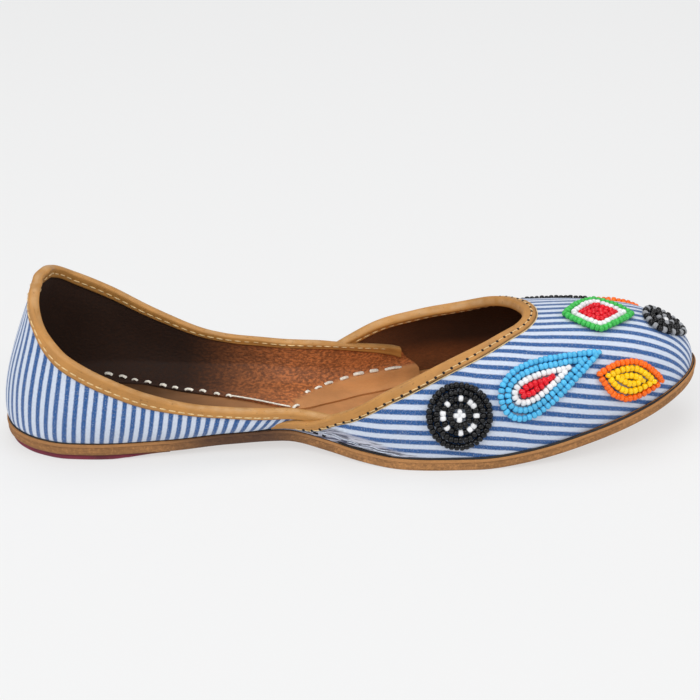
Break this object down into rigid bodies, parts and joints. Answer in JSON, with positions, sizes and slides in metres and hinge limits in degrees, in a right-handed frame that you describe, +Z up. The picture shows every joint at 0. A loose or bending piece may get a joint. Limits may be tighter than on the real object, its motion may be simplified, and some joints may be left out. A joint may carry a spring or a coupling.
{
  "type": "punjabi jutti",
  "caption": "Flat slip-on shoe: hollow striped cloth upper lined in leather, folded leather bindings at collar and throat, bead patches on the vamp, thin leather sole with toe spring.",
  "frame": {"origin": "middle of the bounding box on the floor", "axes": "+X to the toe, +Y to the inner side of the foot, +Z up; the shoe stands on its sole"},
  "size_m": [0.245, 0.0776, 0.059],
  "materials": {
    "sole_leather": "raw cut vegetable-tanned leather, fibrous edge",
    "lift_leather": "dyed maroon leather",
    "insole_leather": "smooth tan leather",
    "striped_cloth": "blue and white ticking, woven",
    "binding_leather": "smooth tan leather, sewn",
    "beads": "glossy opaque seed beads in several colours"
  },
  "bodies": {
    "root": {"outsole": "sole_leather", "heel_lift": "lift_leather", "insole": "insole_leather", "upper": "striped_cloth", "quarter_binding": "binding_leather", "vamp_binding": "binding_leather", "beads_rosette_outer": "beads", "beads_drop_outer": "beads", "beads_leaf_outer": "beads", "beads_lozenge_top": "beads", "beads_rosette_toe": "beads", "beads_rosette_inner": "beads", "beads_drop_inner": "beads", "beads_leaf_inner": "beads"}
  },
  "joints": []
}
